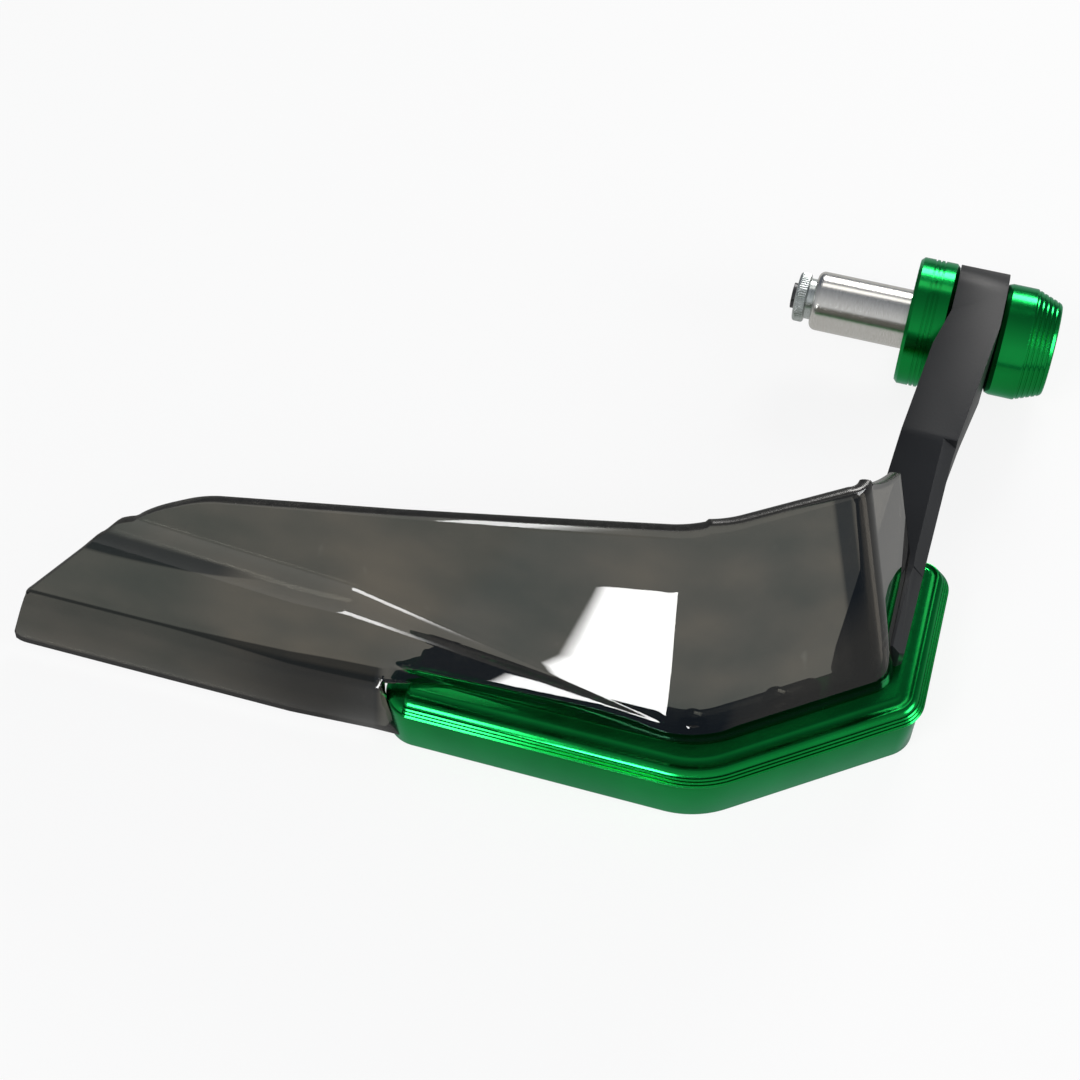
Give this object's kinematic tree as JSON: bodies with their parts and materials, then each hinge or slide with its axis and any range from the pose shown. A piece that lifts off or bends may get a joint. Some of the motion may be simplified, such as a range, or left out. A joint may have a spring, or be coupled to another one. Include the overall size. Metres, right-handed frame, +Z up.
{
  "type": "motorcycle hand guard",
  "caption": "Left-hand motorcycle hand guard: expanding bar-end plug, turned collar and cap, black bent arm, grooved green rail and a creased smoke wind shield.",
  "frame": {"origin": "on the handlebar axis, at the collar face that meets the handlebar's end", "axes": "+X along the handlebar axis and outboard, -Y forward on the bike, +Z up"},
  "size_m": [0.2023, 0.1504, 0.065],
  "materials": {
    "zinc_steel": "zinc plated",
    "polished_sleeve": "polished",
    "green_anodised": "satin anodised",
    "black_steel": "black oxide",
    "black_arm": "satin black coat",
    "smoke_plastic": "tinted gloss"
  },
  "bodies": {
    "root": {"expander_nut": "zinc_steel", "expander_sleeve": "polished_sleeve", "inner_collar": "green_anodised", "end_cap": "green_anodised", "main_bolt": "black_steel", "flat_washer": "zinc_steel", "spring_washer": "zinc_steel", "arm": "black_arm", "guard_rail": "green_anodised", "wind_shield": "smoke_plastic", "arm_screw_1": "black_steel", "arm_screw_2": "black_steel", "arm_washer_1": "zinc_steel", "arm_washer_2": "zinc_steel", "shield_screw_1": "black_steel", "shield_screw_2": "black_steel", "shield_screw_3": "black_steel", "shield_screw_4": "black_steel", "shield_washer_1": "zinc_steel", "shield_washer_2": "zinc_steel", "shield_washer_3": "zinc_steel", "shield_washer_4": "zinc_steel"}
  },
  "joints": []
}
